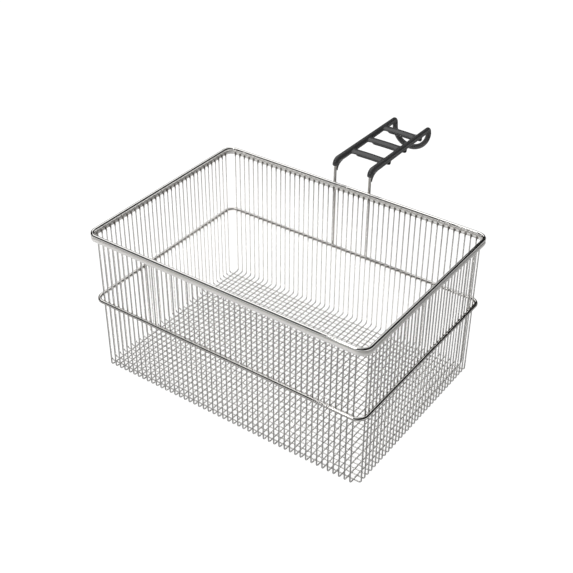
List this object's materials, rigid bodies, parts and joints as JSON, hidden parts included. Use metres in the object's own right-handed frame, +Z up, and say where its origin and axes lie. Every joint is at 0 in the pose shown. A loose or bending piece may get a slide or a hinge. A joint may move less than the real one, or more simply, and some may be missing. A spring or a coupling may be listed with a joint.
{
  "type": "deep fryer basket",
  "caption": "Rectangular welded-wire fryer basket with a doubled rod rim, a ring rod halfway down and a black ladder-shaped grip on one long side.",
  "frame": {"origin": "bottom centre of the box round the whole part, handle included", "axes": "+Z up; the basket's long sides run along X; the handle reaches out along +Y"},
  "size_m": [0.3296, 0.3628, 0.195],
  "materials": {
    "bright_steel": "bright drawn and polished wire",
    "black_plastic": "satin moulded"
  },
  "bodies": {
    "root": {"rim_upper_rod": "bright_steel", "rim_lower_rod_and_lengthwise_wires": "bright_steel", "ring_rod_and_crosswise_wires": "bright_steel", "handle_rod": "bright_steel", "grip": "black_plastic"}
  },
  "joints": []
}
